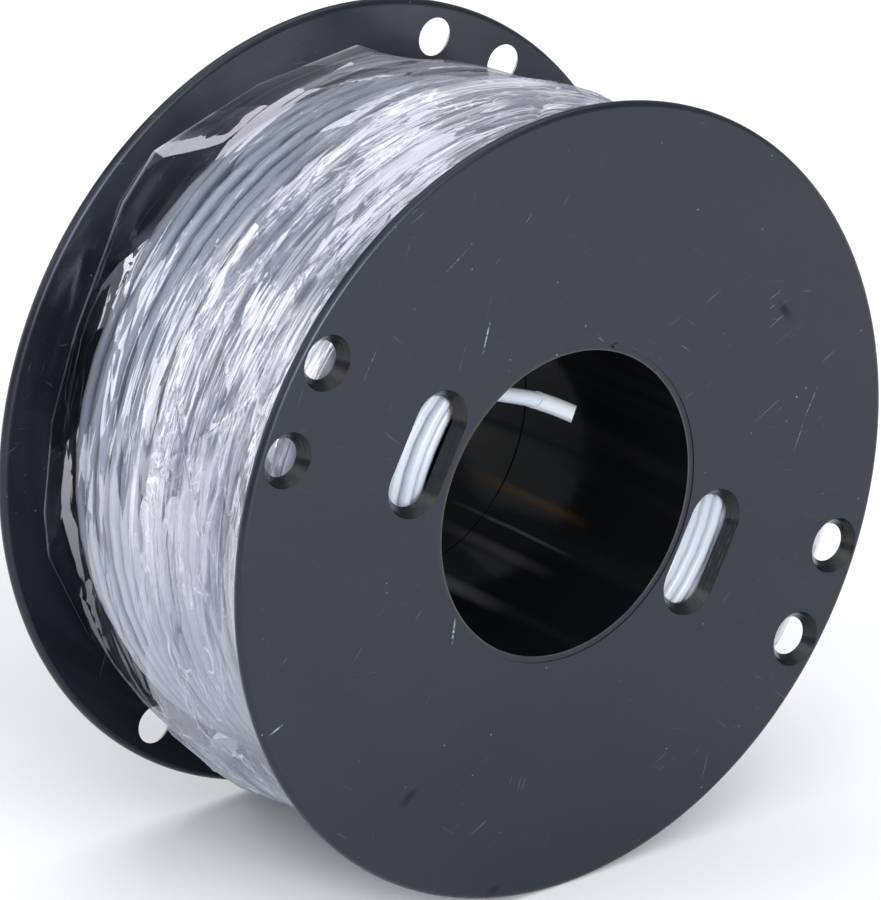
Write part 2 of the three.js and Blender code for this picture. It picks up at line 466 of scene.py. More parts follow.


# Painted reflections along the bore, faint pale and amber bands that stand in for what it mirrors: (angle in
# degrees, half width in degrees, colour)
BORE_PAINTED_REFLECTIONS = [
    (324, 2.6, (0.036, 0.017, 0.003, 1)),
    (311, 0.9, (0.040, 0.048, 0.042, 1)),
    (301, 3.0, (0.032, 0.028, 0.030, 1)),
    (277, 5.0, (0.045, 0.045, 0.050, 1)),
]
BORE_REFLECTION_MIDDLE_Y = 3 * MM


def bore_plastic():
    """The bore: plastic moulded on a polished core, nearly black, with faint streaks along the axis and
    painted reflections in bands along it.
    """
    n = Nodes("bore_plastic")
    at = object_position(n)
    angle = n.math("ARCTAN2", n.part(at, "Z"), n.part(at, "X"))
    angle = n.math("MODULO", n.plus(angle, 2 * math.pi), 2 * math.pi)
    angle = n.plus(angle, n.times(n.noise(at, 60), 0.03))
    streak = n.streaks(at, (160, 6, 160), detail=3)
    scuff = n.streaks(at, (700, 30, 700))
    colour = n.colour_mix(n.ramp(streak, 0.5, 0.8), (0.0030, 0.0036, 0.0044, 1), (0.008, 0.008, 0.009, 1))
    # painted reflections: bands of colour at set angles round the bore, fading towards its ends
    from_middle = n.math("ABSOLUTE", n.math("SUBTRACT", n.part(at, "Y"), BORE_REFLECTION_MIDDLE_Y))
    reflection_fade = n.ramp(from_middle, 19 * MM, 6 * MM)
    for middle, half_width, tone in BORE_PAINTED_REFLECTIONS:
        half_angle = math.radians(half_width)
        away = n.math("ABSOLUTE", n.math("SUBTRACT", angle, math.radians(middle)))
        share = n.times(n.ramp(away, half_angle, half_angle * 0.3), reflection_fade)
        colour = n.colour_mix(n.times(share, n.ramp(scuff, 0.2, 0.7, 0.6, 1.0)), colour, tone)
    roughness = n.ramp(scuff, 0.3, 0.8, 0.10, 0.22)
    normal = n.bump(streak, 0.05 * MM, 0.3)
    return n.plastic(colour, roughness, normal, IOR=1.5, Specular_IOR_Level=0.035)


def opening_plastic():
    """The flared walls of the slots and holes, and the chamfer round the bore: glossy, with fine rings."""
    n = Nodes("opening_plastic")
    at = object_position(n)
    ring = n.streaks(at, (60, 5200, 60), 0, 3, 0.6)
    patch = n.noise(at, 260, 3, 0.6)
    radius = n.math("SQRT", n.plus(n.math("POWER", n.part(at, "X"), 2), n.math("POWER", n.part(at, "Z"), 2)))
    # the chamfer round the bore is painted paler: a painted highlight along its edge
    chamfer_highlight = n.ramp(radius, BORE_RADIUS + 0.6 * MM, BORE_RADIUS + 0.4 * MM)
    chamfer_highlight = n.times(chamfer_highlight, n.ramp(patch, 0.3, 0.6, 0.4, 1.0))
    colour = n.colour_mix(n.ramp(ring, 0.3, 0.7), (0.003, 0.004, 0.006, 1), (0.009, 0.011, 0.014, 1))
    colour = n.colour_mix(chamfer_highlight, colour, (0.035, 0.038, 0.046, 1))
    normal = n.bump(n.plus(ring, n.times(patch, 0.6)), 0.10 * MM, 0.7)
    roughness = n.ramp(patch, 0.3, 0.7, 0.08, 0.2)
    return n.plastic(colour, roughness, normal, IOR=1.42)


def string_plastic():
    """Light grey smooth string, with faint streaks along it and painted shade between its turns.

    Where turns lie side by side, marked by the attribute "packed", painted shade darkens the gaps between
    them.
    """
    n = Nodes("string")
    uv = surface_uv(n)
    at = object_position(n)
    streak = n.streaks(uv, (40, 900, 1), detail=3)
    patch = n.noise(at, 35, 3)
    colour = n.colour_mix(n.ramp(patch, 0.35, 0.7), (0.37, 0.41, 0.47, 1), (0.45, 0.49, 0.55, 1))
    colour = n.colour_mix(n.ramp(streak, 0.5, 0.8, 0, 0.25), colour, (0.31, 0.35, 0.41, 1))
    # painted shade: where turns lie side by side, the sides towards their neighbours are painted darker
    round_angle = n.math("DIVIDE", n.part(uv, "Y"), STRING_DIAMETER / 2)
    towards_gap = n.ramp(n.math("ABSOLUTE", n.math("SINE", round_angle)), 0.60, 0.98, 0.0, 0.65)
    gap_shade = n.times(towards_gap, attribute(n, "packed"))
    colour = n.colour_mix(gap_shade, colour, (0.10, 0.115, 0.145, 1))
    roughness = n.ramp(patch, 0.3, 0.7, 0.26, 0.36)
    normal = n.bump(streak, 0.04 * MM, 0.4)
    return n.plastic(colour, roughness, normal, IOR=1.5)


def sleeve_plastic():
    """The sleeve on the string's end: paler, with creases along it."""
    n = Nodes("sleeve")
    uv = surface_uv(n)
    crease = n.streaks(uv, (120, 1400, 1), 4, 3, 0.6)
    patch = n.noise(object_position(n), 300, 3)
    colour = n.colour_mix(n.ramp(crease, 0.35, 0.7), (0.42, 0.45, 0.50, 1), (0.50, 0.52, 0.56, 1))
    normal = n.bump(n.plus(crease, n.times(patch, 0.4)), 0.12 * MM, 0.6)
    roughness = n.ramp(patch, 0.3, 0.7, 0.25, 0.4)
    return n.plastic(colour, roughness, normal)


def cut_face():
    """The string's cut end, with a coppery fleck at its edge."""
    n = Nodes("cut_end")
    at = object_position(n)
    grain = n.noise(at, 2500, 3, 0.6)
    colour = n.colour_mix(n.ramp(grain, 0.35, 0.7), (0.55, 0.56, 0.58, 1), (0.70, 0.70, 0.71, 1))
    fleck = n.ramp(n.noise(at, 700), 0.60, 0.66)
    colour = n.colour_mix(fleck, colour, (0.55, 0.27, 0.14, 1))
    normal = n.bump(grain, 0.15 * MM, 0.8)
    roughness = n.ramp(grain, 0.3, 0.7, 0.5, 0.7)
    return n.plastic(colour, roughness, normal)


def film_plastic(name, haze_low, haze_high, seed):
    """Clear stretch film: see-through, glossy, crumpled into flat facets, with milky streaks and creases.

    The UV map holds the distance round the reel and along its axis, in metres. The film is clearest and
    smoothest past CLEAR_FROM, where it leaves the winding for the rear flange.
    """
    n = Nodes(name)
    uv = surface_uv(n)
    across = n.part(uv, "Y")
    wound = n.ramp(across, CLEAR_FROM + 3 * MM, CLEAR_FROM - 2 * MM)

    def bent(scale, turn, amount, offset):
        at = n.add("Mapping", Vector=uv, Location=(offset, offset * 1.7, seed), Scale=(*scale, 1),
                   Rotation=(0, 0, math.radians(turn))).outputs[0]
        bend = n.add("TexNoise", Vector=at, Scale=0.8, Detail=2.0, Roughness=0.5).outputs["Color"]
        return n.vector("MULTIPLY_ADD", bend, (amount, amount, 0), at)

    def facet_height(scale, turn, slope, bend, offset):
        at = bent(scale, turn, bend, offset)
        cell = n.add("TexVoronoi", {"voronoi_dimensions": "2D"}, Vector=at, Scale=1.0, Randomness=1.0)
        away = n.vector("SUBTRACT", at, cell.outputs["Position"])
        tilt = n.vector("SUBTRACT", cell.outputs["Color"], (0.5, 0.5, 0.5))
        lean = n.vector("MULTIPLY", tilt, (slope[0] / scale[0], slope[1] / scale[1], 0))
        return n.vector("DOT_PRODUCT", away, lean)

    def crease(scale, turn, width, offset):
        at = bent(scale, turn, 0.5, offset)
        value = n.add("TexNoise", Vector=at, Scale=1.0, Detail=2.0, Roughness=0.55).outputs["Fac"]
        return n.ramp(n.math("ABSOLUTE", n.math("SUBTRACT", value, 0.5)), width, 0.0)

    long_facets = facet_height((17, 110), 4, (0.10, 0.62), 0.35, 3.1)
    shards = facet_height((34, 230), -14, (0.34, 0.95), 0.3, 7.7)
    slivers = facet_height((60, 420), 11, (0.40, 1.15), 0.25, 15.1)
    wide_facets = facet_height((38, 120), -24, (0.50, 0.80), 0.3, 33.5)
    ripples = n.times(n.streaks(uv, (40, 900, 1), 5, distortion=0.2), 0.02 * MM)
    swells = n.times(n.streaks(uv, (45, 110, 1), 20, 1.5, 0.4), n.ramp(wound, 0, 1, 1.6 * MM, 0.7 * MM))

    # along the reel the film is whitest beside the front flange and in the middle
    round_it = n.part(uv, "X")
    drift = n.math("SUBTRACT", n.streaks(uv, (14, 30, 1)), 0.5)
    place_across = n.plus(across, n.times(drift, 14 * MM))
    front_white = n.times(n.ramp(place_across, -15 * MM, -23 * MM), 0.85)
    middle_white = n.times(n.ramp(place_across, -8 * MM, -2 * MM),
                           n.ramp(place_across, 9 * MM, 3 * MM))
    underneath = n.most(n.ramp(round_it, UNDER_FROM - 18 * MM, UNDER_FROM + 12 * MM),
                        n.ramp(round_it, UNDER_TO + 18 * MM, UNDER_TO - 12 * MM))
    band = n.most(n.most(front_white, middle_white), 0.12)
    over_top = n.times(n.ramp(round_it, GATHER_FROM, GATHER_FROM + 20 * MM, 0.0, 0.6),
                       n.ramp(round_it, GATHER_TO + 60 * MM, GATHER_TO + 25 * MM))
    band = n.most(band, over_top)
    calm = n.ramp(place_across, 13 * MM, 6 * MM, 0.30, 1.0)

    crumple = n.ramp(n.streaks(uv, (12, 45, 1)), 0.40, 0.60)
    crumple = n.times(crumple, n.ramp(underneath, 0, 1, 1.0, 0.15))
    lines = n.most(crease((10, 170), 3, 0.026, 1.3), crease((22, 210), -17, 0.022, 5.9))
    lines = n.most(lines, crease((5, 240), 1, 0.034, 12.7))
    lines = n.most(lines, n.times(crease((34, 330), 22, 0.022, 9.1), crumple))
    broken = n.ramp(n.streaks(uv, (30, 160, 1)), 0.44, 0.58)
    lines = n.times(lines, n.times(broken, n.ramp(underneath, 0, 1, 1.0, 0.25)))
    lines = n.times(lines, calm)
    height = n.plus(n.times(long_facets, n.ramp(underneath, 0, 1, 1.0, 0.35)),
                    n.times(n.plus(shards, slivers), crumple))
    height = n.plus(height, ripples)
    height = n.plus(height, n.times(lines, 0.10 * MM))
    height = n.plus(n.times(height, n.ramp(wound, 0, 1, 0.06, 1.0)), swells)
    height = n.plus(height, n.times(wide_facets, n.ramp(wound, 0, 1, 1.0, 0.2)))
    normal = n.bump(height, 1.0, 1.0)

    # fine lines that whiten the film without shaping it
    hairs = n.most(crease((42, 150), 38, 0.014, 41.7), crease((30, 120), -33, 0.013, 47.3))
    hairs = n.times(hairs, n.ramp(n.streaks(uv, (60, 90, 1)), 0.46, 0.54))
    kinks = n.times(crease((140, 420), 35, 0.09, 21.3), attribute(n, "loose"))
    marks = n.most(kinks, n.times(hairs, n.times(calm, 0.8)))
    marks = n.most(marks, lines)

    long_streaks = n.streaks(uv, (13, 330, 1), 3, 2.5, distortion=0.3)
    patches = n.streaks(uv, (14, 40, 1), 12, 3, 0.6)
    haze = n.times(n.ramp(long_streaks, 0.44, 0.64), n.ramp(patches, 0.38, 0.62, 0.15, 1.0))
    haze = n.times(haze, band)
    even = n.ramp(long_streaks, 0.3, 0.7, 0.34, 0.60)
    gathered = n.times(n.ramp(round_it, GATHER_FROM, GATHER_FROM + 20 * MM),
                       n.ramp(round_it, GATHER_TO + 34 * MM, GATHER_TO + 6 * MM))
    gathered = n.times(gathered, n.ramp(long_streaks, 0.40, 0.60, 0.14, 0.48))
    slack = n.times(n.ramp(round_it, SLACK_FROM - 14 * MM, SLACK_FROM),
                    n.ramp(round_it, SLACK_TO + 14 * MM, SLACK_TO))
    slack = n.times(slack, n.ramp(long_streaks, 0.34, 0.50, 0.25, 0.62))
    haze = n.plus(n.times(haze, n.math("SUBTRACT", 1.0, underneath)),
                  n.times(n.times(even, calm), underneath))
    haze = n.ramp(n.times(haze, wound), 0, 1, haze_low, haze_high)
    haze = n.times(haze, n.ramp(wound, 0, 1, 0.25, 1.0))
    haze = n.plus(haze, n.times(gathered, n.ramp(wound, 0, 1, 1.0, 0.7)), True)
    haze = n.most(haze, slack)
    haze = n.plus(haze, n.times(marks, n.ramp(wound, 0, 1, 0.04, 0.70)), True)
    foot_fold = n.ramp(across, CHANNEL_Y - 0.9 * MM, CHANNEL_Y - 0.3 * MM, 0.0, 0.45)
    haze = n.plus(haze, foot_fold, True)
    # painted shade: the film underneath is tinted darker, where less light reaches it
    tint = n.colour_mix(underneath, (0.57, 0.58, 0.63, 1), (0.42, 0.46, 0.54, 1))
    tint = n.colour_mix(marks, tint, (0.84, 0.85, 0.90, 1))
    milky = n.add("BsdfPrincipled", Base_Color=tint, Roughness=0.5, Normal=normal)
    clear = n.add("BsdfTransparent", Color=(0.965, 0.975, 1.0, 1))
    body = n.add("MixShader", Fac=haze)
    n.set(body.inputs[1], clear)
    n.set(body.inputs[2], milky)
    shine = n.add("BsdfGlossy", Color=(0.66, 0.65, 0.72, 1), Roughness=0.03, Normal=normal)
    edge_on = n.add("Fresnel", IOR=1.5).outputs[0]
    share = n.math("MINIMUM", n.plus(n.times(edge_on, 1.7), 0.05), 0.38)
    share = n.times(share, n.ramp(underneath, 0, 1, 1.0, 0.5))
    whole = n.add("MixShader", Fac=share)
    n.set(whole.inputs[1], body)
    n.set(whole.inputs[2], shine)
    return n.finish(whole)


def floor_material():
    n = Nodes("floor")
    at = object_position(n)
    tone = n.noise(at, 3)
    colour = n.colour_mix(tone, (0.88, 0.88, 0.88, 1), (0.90, 0.90, 0.90, 1))
    # painted light: the floor glows, more the further it lies from the reel, up to its full glow half a
    # metre out
    away = n.vector("DISTANCE", n.vector("MULTIPLY", at, (1, 1, 0)), (0, 0, 0))
    painted_floor_glow = n.ramp(away, 0.10, 0.50, 0.0, 0.20)
    shader = n.add("BsdfPrincipled", Base_Color=colour, Roughness=0.8, Emission_Color=(1, 1, 1, 1),
                   Emission_Strength=painted_floor_glow)
    return n.finish(shader)


# Reel


def rim_arc():
    """The flange's rounded rim, from its outer face at y = 0 to its inner face."""
    angles = np.linspace(-math.pi / 2, math.pi / 2, 17)
    centre = FLANGE_RADIUS - RIM_ROUNDING
    return [(centre + RIM_ROUNDING * math.cos(a), RIM_ROUNDING + RIM_ROUNDING * math.sin(a)) for a in angles]


def half_outline(barrel_end):
    """One half's outline as (radius, y), with its outer face at y = 0 and its barrel towards +y."""
    corner_radius, corner_y = BARREL_RADIUS + BARREL_FILLET, FLANGE_THICKNESS + BARREL_FILLET
    fillet = [
        (corner_radius - BARREL_FILLET * math.sin(a), corner_y - BARREL_FILLET * math.cos(a))
        for a in np.linspace(0, math.pi / 2, 6)
    ]
    return [
        (BORE_RADIUS, LIP_DEPTH + BORE_CHAMFER),
        (BORE_RADIUS + 0.3 * BORE_CHAMFER, LIP_DEPTH + 0.3 * BORE_CHAMFER),
        (BORE_RADIUS + BORE_CHAMFER, LIP_DEPTH),
        (BORE_RADIUS + LIP_WIDTH, LIP_DEPTH),
        (BORE_RADIUS + LIP_WIDTH, 0),
        *rim_arc(),
        *fillet,
        *barrel_end,
    ]


def flared_cutter(centre, tangent, half_straight, mouth_radius):
    """The solid that cuts a flared opening through a flange whose outer face is at y = 0."""
    radial = np.array([tangent[2], 0, -tangent[0]])
    slope = FLARE / FLANGE_THICKNESS
    overrun = 0.5 * MM
    angles = (np.arange(OPENING_SEGMENTS) + 0.5) * 2 * math.pi / OPENING_SEGMENTS
    rings = []
    for level in (-overrun, FLANGE_THICKNESS + overrun):
        radius = mouth_radius - level * slope
        along = np.sign(np.cos(angles)) * half_straight + radius * np.cos(angles)
        across = radius * np.sin(angles)
        rings.append(centre + along[:, None] * tangent + across[:, None] * radial + np.array([0, level, 0]))
    return np.vstack(rings), closed_faces(2, OPENING_SEGMENTS)


def gate_stub():
    """A small rounded stub that stands out of the flange's outer face at y = 0."""
    angles = np.arange(GATE_SEGMENTS) * 2 * math.pi / GATE_SEGMENTS
    circle = on_circle(1, angles)
    rings = [
        on_circle(GATE_CIRCLE_RADIUS, GATE_ANGLE, y * MM) + GATE_RADIUS * width * circle
        for y, width in [(0.5, 1.0), (-0.08, 1.0), (-0.20, 0.85), (-0.27, 0.55), (-0.30, 0.2)]
    ]
    return np.vstack(rings), closed_faces(len(rings), GATE_SEGMENTS)


def face_outwards(mesh):
    fix = bmesh.new()
    fix.from_mesh(mesh)
    bmesh.ops.recalc_face_normals(fix, faces=fix.faces)
    fix.to_mesh(mesh)
    fix.free()


def combine(obj, vertices, faces, operation="DIFFERENCE"):
    """Cuts a solid out of the object, or unites the two."""
    cutter = make_object("cutter", vertices, faces)
    face_outwards(cutter.data)
    modifier = obj.modifiers.new("cut", "BOOLEAN")
    modifier.operation = operation
    modifier.solver = "EXACT"
    modifier.object = cutter
    bpy.context.view_layer.update()
    cut = bpy.data.meshes.new_from_object(obj.evaluated_get(bpy.context.evaluated_depsgraph_get()))
    obj.modifiers.clear()
    obj.data = cut
    bpy.data.objects.remove(cutter)


def reel_half(name, barrel_end, pattern_angle):
    """One half with its slots and holes, in its own frame: outer face at y = 0 and barrel towards +y."""
    obj = make_object(name, *turned(half_outline(barrel_end)))
    face_outwards(obj.data)
    half_straight = (SLOT_MOUTH_LENGTH - SLOT_MOUTH_WIDTH) / 2
    for middle in (pattern_angle, pattern_angle + math.pi):
        tangent = on_circle(1, middle + math.pi / 2)
        centre = on_circle(SLOT_CIRCLE_RADIUS, middle)
        combine(obj, *flared_cutter(centre, tangent, half_straight, SLOT_MOUTH_WIDTH / 2))
        for offset in (-HOLE_HALF_SPACING, HOLE_HALF_SPACING):
            centre = on_circle(HOLE_CIRCLE_RADIUS, middle + offset)
            combine(obj, *flared_cutter(centre, tangent, 0, HOLE_MOUTH_RADIUS))
    return obj


def string_hole():
    """The solid that cuts the string's hole through the front half's barrel, in that half's own frame."""
    route = np.array(INNER_END_ROUTE) * MM
    ahead = route[0] - route[1]
    ahead /= np.linalg.norm(ahead)
    start = route[0] + ahead * 4 * MM + np.array([0, FACE_Y, 0])
    path = np.array([start, start - ahead * 12 * MM])
    vertices, _ = tube(path, STRING_HOLE_RADIUS, STRING_HOLE_SEGMENTS)
    return vertices, closed_faces(2, STRING_HOLE_SEGMENTS)


def place(obj, turn_y=False):
    """Moves a half from its own frame to the reel's: outer face to -FACE_Y, or turned to face +Y."""
    mesh = obj.data
    points = np.empty(len(mesh.vertices) * 3)
    mesh.vertices.foreach_get("co", points)
    points = points.reshape(-1, 3)
    points[:, 1] -= FACE_Y
    if turn_y:
        points[:, :2] *= -1
    mesh.vertices.foreach_set("co", points.ravel())
    mesh.update()
    mesh.shade_smooth()
    mesh.set_sharp_from_angle(angle=math.radians(28))


def paint_half(obj, finishes):
    """Sorts the faces among four finishes: flange and rim, bore, openings and chamfer, channel side."""
    mesh = obj.data
    mesh.materials.clear()
    for material in finishes:
        mesh.materials.append(material)
    for polygon in mesh.polygons:
        centre = polygon.center
        radius = math.hypot(centre.x, centre.z)
        upright = abs(polygon.normal.y)
        kind = 0
        if radius < BORE_RADIUS + 0.2 * MM and (upright < 0.5 or abs(centre.y) < CHANNEL_Y):
            kind = 1
        elif BORE_RADIUS < radius < BORE_RADIUS + BORE_CHAMFER and upright < 0.98:
            kind = 2
        elif (BORE_RADIUS + LIP_WIDTH + 0.05 * MM < radius < FLANGE_RADIUS - RIM_ROUNDING
              and abs(centre.y) > CHANNEL_Y - 0.01 * MM and upright < 0.9):
            kind = 2
        elif abs(centre.y) < CHANNEL_Y + 0.01 * MM:
            kind = 3
        polygon.material_index = kind


def barrel_end(seam, lap_end, lap_radius):
    """The end of a half's outline: from the barrel's outside over the lap joint to the seam in the bore."""
    return [
        (BARREL_RADIUS, lap_end),
        (lap_radius, lap_end),
        (lap_radius, seam),
        (BORE_RADIUS + SEAM_CHAMFER, seam),
        (BORE_RADIUS, seam - SEAM_CHAMFER),
    ]


def make_reel():
    seam = FACE_Y + SEAM_Y
    front_end = barrel_end(seam, seam - LAP_LENGTH, SPIGOT_RADIUS)
    front = reel_half("front_half", front_end, FRONT_PATTERN_ANGLE)
    combine(front, *string_hole())
    combine(front, *gate_stub(), operation="UNION")
    place(front)
    seam = FACE_Y - SEAM_Y - GAP
    rear_end = barrel_end(seam, seam + LAP_LENGTH, SPIGOT_RADIUS + GAP)
    rear = reel_half("rear_half", rear_end, math.pi - REAR_PATTERN_ANGLE)
    place(rear, turn_y=True)
    finishes = (
        reel_plastic("reel_plastic", 0.43, 0.28, 0.35),
        bore_plastic(),
        opening_plastic(),
        # the channel side: a less glossy copy of the reel plastic, darker as in shade, with painted light
        # over its top
        reel_plastic("channel_plastic", 0.24, 0.13, 0.20, painted_top_light=0.20),
    )
    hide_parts("front_reel_half")
    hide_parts("rear_reel_half")
    for half in (front, rear):
        paint_half(half, finishes)
        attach(half, "root")


# String


def tube_uv(path, sides, radius):
    """Distances along and round a tube, for each of its vertices."""
    turn = np.arange(sides) / sides * 2 * math.pi * radius
    return np.stack(np.broadcast_arrays(distances(path)[:, None], turn[None]), axis=-1).reshape(-1, 2)


# The string's end is cut off slantwise: the cut's normal
CUT_NORMAL = np.array([0.66, -0.69, -0.29])


def slant_cut(points, path, reach=5 * MM):
    """Shifts the last rings of a tube along its axis, so that its end lies on the slanting cut."""
    ahead = path[-1] - path[-2]
    ahead /= np.linalg.norm(ahead)
    shift = ((path[-1] - points[-1]) @ CUT_NORMAL) / (ahead @ CUT_NORMAL)
    left = np.linalg.norm(path[-1] - path, axis=1)
    share = np.clip(1 - left / reach, 0, 1)
    return points + (share[:, None] * shift[None])[..., None] * ahead


def make_cut_string(path, string, cut_material):
    """The string along the path, closed at both ends, with the slanting cut at its last one."""
    sides = STRING_SIDES
    radius = STRING_DIAMETER / 2
    vertices, quads = tube(path, radius, sides)
    uvs = tube_uv(path, sides, radius)
    vertices = slant_cut(vertices.reshape(-1, sides, 3), path).reshape(-1, 3)
    count = len(vertices)
    vertices = np.vstack([vertices, path[0], path[-1]])
    uvs = np.vstack([uvs, uvs[0], uvs[-1]])
    last = count - sides
    faces = [tuple(f) for f in quads]
    faces += [((k + 1) % sides, k, count) for k in range(sides)]
    faces += [(last + k, last + (k + 1) % sides, count + 1) for k in range(sides)]
    end = make_object("inner_end", vertices, faces, uvs, 40)
    end.data.materials.append(string)
    end.data.materials.append(cut_material)
    for k in range(len(faces) - sides, len(faces)):
        end.data.polygons[k].material_index = 1
    return end


def make_sleeve(path, material):
    """A thin tube on the path's last stretch, with a slanted first edge, wrinkled along its length."""
    sides = SLEEVE_SIDES
    keep = round((1 - SLEEVE_LENGTH / path_length(path)) * (len(path) - 1))
    path = path[keep:]
    steps = len(path)
    outer, _ = tube(path, SLEEVE_DIAMETER / 2, sides)
    outer = outer.reshape(steps, sides, 3)
    centre = path[:, None]
    angles = np.arange(sides) * 2 * math.pi / sides
    wrinkles = 0.02 * rng.standard_normal((1, sides)).cumsum(axis=1) / 10
    swell = 1 + 0.012 * np.sin(3 * angles + 1)[None] + wrinkles
    outer = centre + (outer - centre) * swell[..., None]
    slant = np.zeros(steps)
    slant[:6] = np.linspace(1, 0, 6)
    shift = slant[:, None] * SLEEVE_EDGE_SLANT * np.cos(angles + 0.6)[None]
    outer += shift[..., None] * directions(path)[:, None]
    inner = centre + (outer - centre) * (STRING_DIAMETER / SLEEVE_DIAMETER * 1.01)
    outer = slant_cut(outer, path)
    inner = slant_cut(inner, path)
    grid = np.concatenate([outer, inner[::-1]], axis=0)
    uvs = np.tile(tube_uv(path, sides, SLEEVE_DIAMETER / 2), (2, 1))
    faces = grid_faces(len(grid), sides, wrap_rows=True)
    sleeve = make_object("end_sleeve", grid.reshape(-1, 3), faces, uvs, 40)
    sleeve.data.materials.append(material)
    return sleeve


def make_inner_end(string, sleeve_material, cut_material):
    path = smooth_path(np.array(INNER_END_ROUTE) * MM, 0.5 * MM)
    end = make_cut_string(path, string, cut_material)
    sleeve = make_sleeve(path, sleeve_material)
    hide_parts("string_inner_end")
    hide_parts("string_end_sleeve")
    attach(end, "root")
    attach(sleeve, "root")


def crown_radius(crown, y):
    """The radius at y, from a table in mm that runs from the rear flange to the front one."""
    table = np.array(crown[::-1]) * MM
    return np.interp(y, table[:, 0], table[:, 1])


def rear_limit(radius):
    """How far towards the rear flange a layer of that outer radius can reach."""
    ys = np.linspace(-WINDING_SIDE_Y, WINDING_SIDE_Y, 400)
    return ys[crown_radius(WINDING_CROWN, ys) >= radius].max()


def wandering(t, turns, draws_per_turn):
    """A value at each t, in turns, that wanders at random about 0."""
    draws = turns * draws_per_turn + 2
    return np.interp(t, np.arange(draws) / draws_per_turn, rng.standard_normal(draws))


def winding_path():
    """The whole winding as one path, layer on layer to and fro along the barrel, and its number of turns."""
    first = BARREL_RADIUS + GAP + STRING_DIAMETER / 2
    side = WINDING_SIDE_Y - STRING_DIAMETER / 2
    top = WINDING_TOP_RADIUS - STRING_DIAMETER / 2
    layers = int((top - first) / LAYER_STEP) + 1
    angle, y, radius = [], [], []
    layer_start = WINDING_START
    for layer in range(layers):
        r = first + layer * LAYER_STEP
        rear = min(side, rear_limit(r + STRING_DIAMETER / 2 - 0.2 * MM) - STRING_DIAMETER / 2)
        span = rear + side
        turns = int(span / WINDING_PITCH)
        t = np.arange(turns * WINDING_POINTS_PER_TURN) / WINDING_POINTS_PER_TURN
        whole = np.floor(t)
        step = np.clip((t - whole - STEP_FROM) / (1 - STEP_FROM), 0, 1)
        step = step * step * (3 - 2 * step)
        place_in_row = np.clip((whole + step) / max(turns - 1, 1), 0, 1)
        towards_rear = layer % 2 == 0
        y_here = -side + span * place_in_row if towards_rear else rear - span * place_in_row
        along, outwards = OUTER_WANDER if layer >= layers - OUTER_LAYERS else INNER_WANDER
        y_here = np.clip(y_here + wandering(t, turns, 3) * along, -side, rear)
        r_here = r + np.clip(wandering(t, turns, 4), -2, 2) * outwards
        along, outwards = FRONT_WANDER
        beside = np.clip(1 - (y_here + side) / FRONT_REACH, 0, 1)
        slack = wandering(t, turns, 5)
        y_here = y_here + beside * np.clip(0.5 + 0.5 * slack, 0, 1.6) * along
        r_here = r_here + beside * np.clip(slack, -1.5, 1.5) * outwards
        angle.append(layer_start + t * 2 * math.pi)
        layer_start += turns * 2 * math.pi
        y.append(y_here)
        radius.append(r_here)
    angle, y, radius = map(np.concatenate, (angle, y, radius))
    kernel = np.hanning(9)
    kernel /= kernel.sum()
    y, radius = (np.convolve(np.pad(a, 4, mode="edge"), kernel, mode="valid") for a in (y, radius))
    return on_circle(radius, angle, y), len(angle) / WINDING_POINTS_PER_TURN


def make_winding(string):
    path, turns = winding_path()
    vertices, faces = tube(path, STRING_DIAMETER / 2 * 0.995, WINDING_SIDES)
    winding = make_object("winding", vertices, faces, tube_uv(path, WINDING_SIDES, STRING_DIAMETER / 2))
    # the side that a turn shows to a flange has no neighbour
    inwards = WINDING_SIDE_Y - np.abs(vertices[:, 1])
    packed = np.clip((inwards - STRING_DIAMETER / 2) / (0.8 * MM), 0, 1).astype(np.float32)
    winding.data.attributes.new("packed", "FLOAT", "POINT").data.foreach_set("value", packed)
    winding.data.materials.append(string)
    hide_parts("string_winding")
    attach(winding, "root")
    print(f"winding: {turns:.0f} turns, {path_length(path):.1f} m")


# Film


def ridge_field(u, v, count, seed, turn_length, length, width, height, tilt):
    """Sum of long, thin creases on a (u, v) surface that closes after turn_length in u, all in metres.

    Each one is a folded ridge that fades at its ends. tilt is how far they lean, in degrees.
    """
    draw = np.random.default_rng(seed)
    total = np.zeros_like(u)
    for _ in range(count):
        cu, cv = draw.uniform(0, turn_length), draw.uniform(v.min(), v.max())
        ridge_length = length * draw.lognormal(0, 0.5)
        ridge_width = width * draw.lognormal(0, 0.35)
        ridge_height = height * draw.lognormal(0, 0.5) * draw.choice([1, 1, 1, -0.6])
        lean = math.tan(math.radians(draw.normal(0, tilt)))
        bend = draw.normal(0, 0.8)
        du = (u - cu + turn_length / 2) % turn_length - turn_length / 2
        near = np.abs(du) < 2.2 * ridge_length
        if not near.any():
            continue
        d = du[near] / ridge_length
        dv = v[near] - cv - lean * du[near] - bend * d * d * ridge_width
        total[near] += ridge_height * np.exp(-d * d) * np.exp(-np.abs(dv / ridge_width) ** 1.3)
    return total


# Corners of the film's foot on the rear flange, as (angle in degrees, radius in mm)
FOOT_CORNERS = [
    (84.2, 71.5), (74.7, 68.2), (65, 67.3), (57, 67.5), (48, 69.0), (30, 71.2), (8, 69.4), (345, 71.8),
    (322, 69.6), (296, 72.2), (268, 69.8), (246, 72.0), (231, 69.2), (224.5, 69.6), (209.5, 69.5),
    (193, 71.4), (185.3, 70.8), (170, 69.4), (155, 68.8), (134, 73.0), (125, 74.8), (104, 71.0),
]
# Rear edge of the outer turn of film, as (angle in degrees, y in mm)
OUTER_EDGE = [
    (0, 6), (60, 4), (100, 2), (130, 1), (150, -1), (165, -1), (180, 0.5), (198, 4), (214, 11), (235, 18),
    (265, 22), (300, 18), (330, 10), (360, 6),
]
